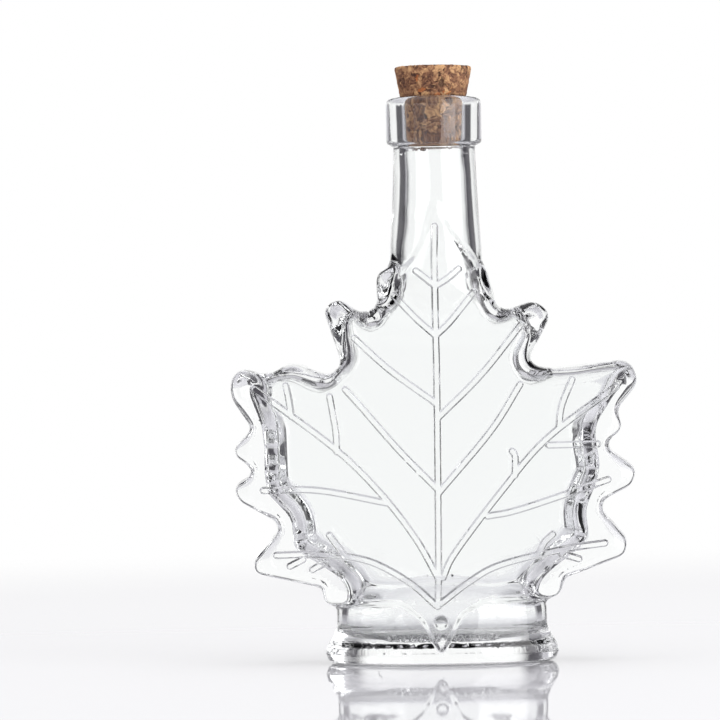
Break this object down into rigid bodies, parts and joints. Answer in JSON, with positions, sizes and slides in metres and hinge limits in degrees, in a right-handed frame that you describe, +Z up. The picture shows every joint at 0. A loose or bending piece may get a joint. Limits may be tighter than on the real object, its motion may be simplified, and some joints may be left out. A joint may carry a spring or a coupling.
{
  "type": "leaf-shaped glass bottle with cork",
  "caption": "Small clear glass bottle shaped like a maple leaf with raised veins, on an oval foot, its round neck closed with a tapered cork.",
  "frame": {"origin": "centre of the foot's flat underside, on the neck's axis", "axes": "+Z up along the neck, X across the leaf, -Y towards the veined front"},
  "size_m": [0.0986, 0.0337, 0.1449],
  "materials": {
    "clear_glass": "clear, glossy",
    "cork": "matt agglomerated cork"
  },
  "bodies": {
    "root": {"bottle": "clear_glass", "cork": "cork"}
  },
  "joints": []
}
